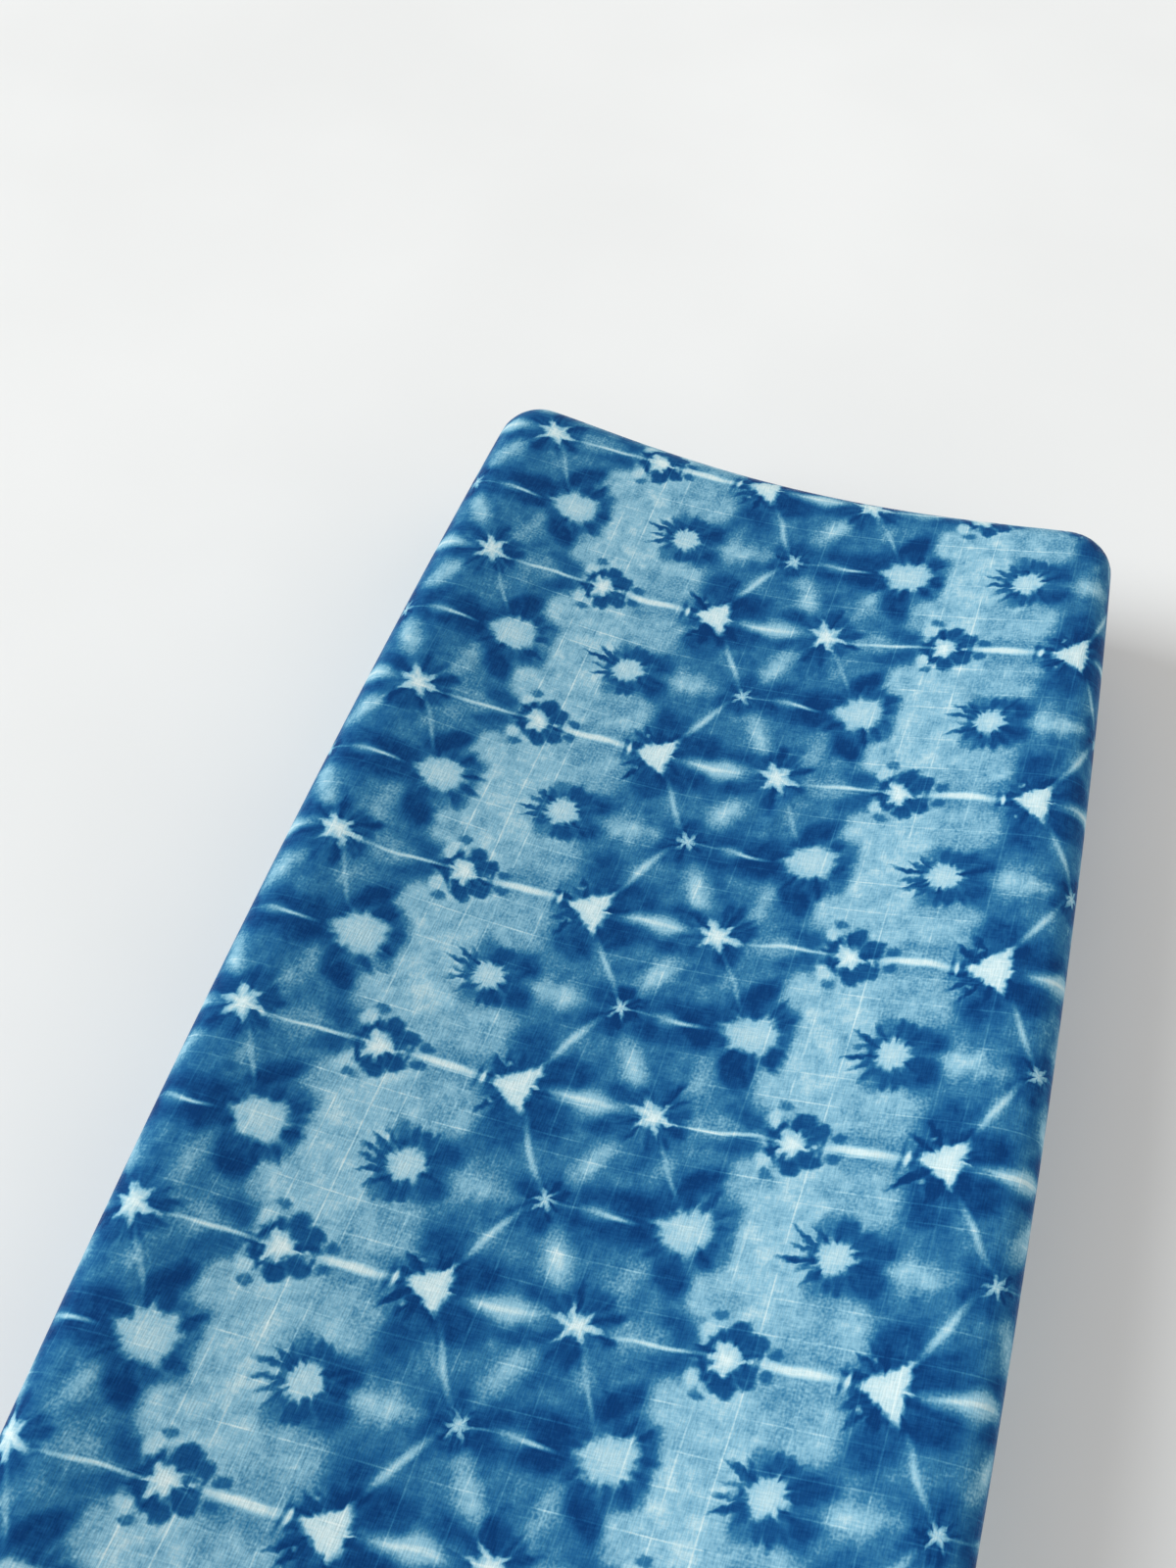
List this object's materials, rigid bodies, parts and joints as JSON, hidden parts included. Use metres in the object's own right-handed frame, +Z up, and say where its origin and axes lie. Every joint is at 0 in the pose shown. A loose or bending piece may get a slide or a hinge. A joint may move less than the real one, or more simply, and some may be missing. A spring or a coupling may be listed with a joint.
{
  "type": "fitted shibori dyed cloth cover on a contoured changing pad",
  "caption": "Indigo dyed muslin cover fitted over a contoured changing pad with raised long sides, drawn down its walls and under its base to an open hem.",
  "frame": {"origin": "middle of the outline, on the surface that the cover's hem rests on", "axes": "+Z up, +Y along the pad to its far end, +X to the right"},
  "size_m": [0.4154, 0.8218, 0.1046],
  "materials": {
    "dyed_muslin": "matt slub muslin, resist dyed in blues and off-white",
    "pad_surface": "plain off-white wipe-clean skin"
  },
  "bodies": {
    "root": {"cover": "dyed_muslin", "pad": "pad_surface"}
  },
  "joints": []
}
